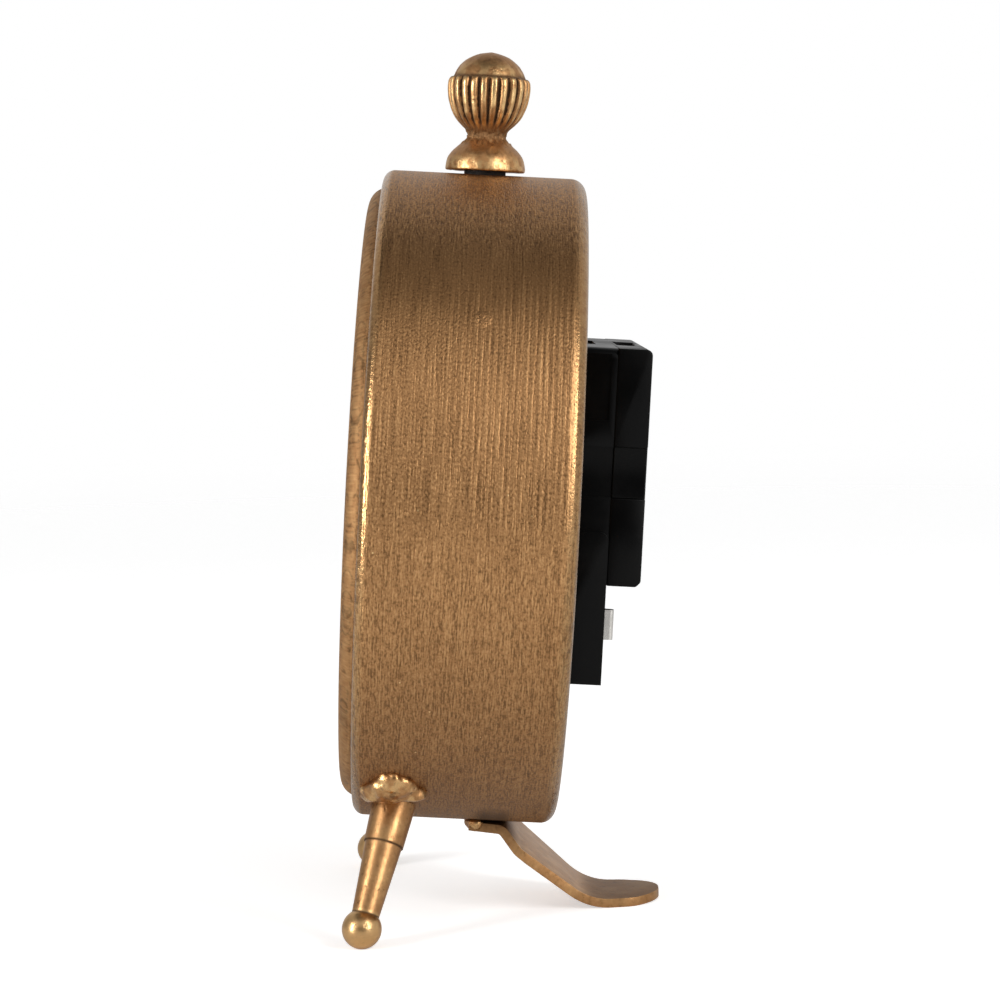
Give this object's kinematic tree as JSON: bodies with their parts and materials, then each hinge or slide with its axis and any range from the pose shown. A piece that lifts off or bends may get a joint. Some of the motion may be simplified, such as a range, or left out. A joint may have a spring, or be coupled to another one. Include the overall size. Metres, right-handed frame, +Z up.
{
  "type": "table clock",
  "caption": "Leaning round table clock with a sheet drum case, fluted finial, ball-footed front legs, a bent strip rear foot and a quartz movement that turns its hands.",
  "frame": {"origin": "middle of the part's box at floor level", "axes": "+Z up, the dial towards -Y, +X to the right of someone who looks along +Y at the dial"},
  "size_m": [0.112, 0.055, 0.1486],
  "materials": {
    "antique_gold_sheet": "brushed antique gold on iron",
    "antique_gold_turned": "satin antique gold",
    "antique_gold_cast": "polished casting with dark patina",
    "braze": "rough braze",
    "clear_glass": "flat clock glass",
    "spring_steel": "plain sheet",
    "fibreboard": "plain fibreboard",
    "printed_paper": "printed card",
    "black_fibre": "fibre washer",
    "black_plastic": "semi gloss moulding",
    "knob_plastic": "matt moulding",
    "rubber": "plain rubber",
    "brass": "turned brass",
    "nickel": "nickel plated strip",
    "steel": "zinc plated steel",
    "copper": "enamelled wire",
    "circuit_laminate": "phenolic laminate",
    "gear_plastic": "moulded acetal",
    "magnet": "sintered magnet on a moulded pinion",
    "hand_black": "satin black"
  },
  "bodies": {
    "case": {"case_drum": "antique_gold_sheet", "bezel_ring": "antique_gold_sheet", "glass_lens": "clear_glass", "glass_retaining_ring": "spring_steel", "mounting_tabs": "antique_gold_sheet", "board_screws": "steel", "dial_board": "fibreboard", "dial_face": "printed_paper", "finial": "antique_gold_cast", "finial_washer": "black_fibre", "finial_stud": "steel", "finial_nut": "steel", "movement_front_case": "black_plastic", "movement_back_cover": "black_plastic", "threaded_bush": "brass", "rubber_washer": "rubber", "brass_washer": "brass", "hex_nut": "brass", "train_bridge": "gear_plastic", "coil_core": "steel", "coil_bobbin": "gear_plastic", "coil_winding": "copper", "stator_plate": "steel", "circuit_board": "circuit_laminate", "timing_chip": "black_fibre", "quartz_crystal": "nickel", "contact_positive": "nickel", "contact_negative": "nickel", "leg_sleeve_right": "antique_gold_turned", "leg_shank_right": "antique_gold_turned", "leg_braze_right": "braze", "leg_sleeve_left": "antique_gold_turned", "leg_shank_left": "antique_gold_turned", "leg_braze_left": "braze", "foot_ball_right": "antique_gold_turned", "foot_ball_left": "antique_gold_turned", "rear_foot": "antique_gold_turned", "rear_foot_braze": "braze"},
    "second_arbor": {"second_wheel": "gear_plastic", "second_hand": "hand_black"},
    "third_wheel": {"third_wheel": "gear_plastic"},
    "centre_wheel": {"centre_wheel": "gear_plastic"},
    "idler_wheel": {"idler_wheel": "gear_plastic"},
    "rotor": {"rotor": "magnet"},
    "minute_arbor": {"minute_pipe": "brass", "minute_hand": "hand_black"},
    "minute_wheel": {"minute_wheel": "gear_plastic"},
    "hour_pipe": {"hour_wheel": "gear_plastic", "hour_hand": "hand_black"},
    "setting_knob": {"setting_knob": "knob_plastic"}
  },
  "joints": [
    {"name": "second_hand_turn", "type": "hinge", "parent": "case", "child": "second_arbor", "pos_m": [0, 0.00883, 0.07079], "axis": [0, 0.9972, -0.075], "continuous": true},
    {"name": "third_wheel_turn", "type": "hinge", "parent": "case", "child": "third_wheel", "pos_m": [0, 0.0095, 0.07977], "axis": [0, 0.9972, -0.075], "continuous": true},
    {"name": "centre_wheel_turn", "type": "hinge", "parent": "case", "child": "centre_wheel", "pos_m": [0, 0.00883, 0.07079], "axis": [0, 0.9972, -0.075], "continuous": true},
    {"name": "idler_wheel_turn", "type": "hinge", "parent": "case", "child": "idler_wheel", "pos_m": [-0.009, 0.00883, 0.07079], "axis": [0, 0.9972, -0.075], "continuous": true},
    {"name": "rotor_turn", "type": "hinge", "parent": "case", "child": "rotor", "pos_m": [-0.0116, 0.00925, 0.07636], "axis": [0, 0.9972, -0.075], "continuous": true},
    {"name": "minute_hand_turn", "type": "hinge", "parent": "case", "child": "minute_arbor", "pos_m": [0, 0.00883, 0.07079], "axis": [0, 0.9972, -0.075], "continuous": true},
    {"name": "minute_wheel_turn", "type": "hinge", "parent": "case", "child": "minute_wheel", "pos_m": [0.00599, 0.00862, 0.06801], "axis": [0, 0.9972, -0.075], "continuous": true},
    {"name": "hour_hand_turn", "type": "hinge", "parent": "case", "child": "hour_pipe", "pos_m": [0, 0.00883, 0.07079], "axis": [0, 0.9972, -0.075], "continuous": true},
    {"name": "setting_knob_turn", "type": "hinge", "parent": "case", "child": "setting_knob", "pos_m": [0.01198, 0.00883, 0.07079], "axis": [0, 0.9972, -0.075], "continuous": true}
  ],
  "couplings": [
    {"joint": "third_wheel_turn", "follows": "second_hand_turn", "ratio": -0.13333},
    {"joint": "centre_wheel_turn", "follows": "second_hand_turn", "ratio": 0.016667},
    {"joint": "idler_wheel_turn", "follows": "second_hand_turn", "ratio": -5},
    {"joint": "rotor_turn", "follows": "second_hand_turn", "ratio": 30},
    {"joint": "minute_wheel_turn", "follows": "minute_hand_turn", "ratio": -0.33333},
    {"joint": "hour_hand_turn", "follows": "minute_hand_turn", "ratio": 0.083333},
    {"joint": "setting_knob_turn", "follows": "minute_hand_turn", "ratio": 1}
  ]
}
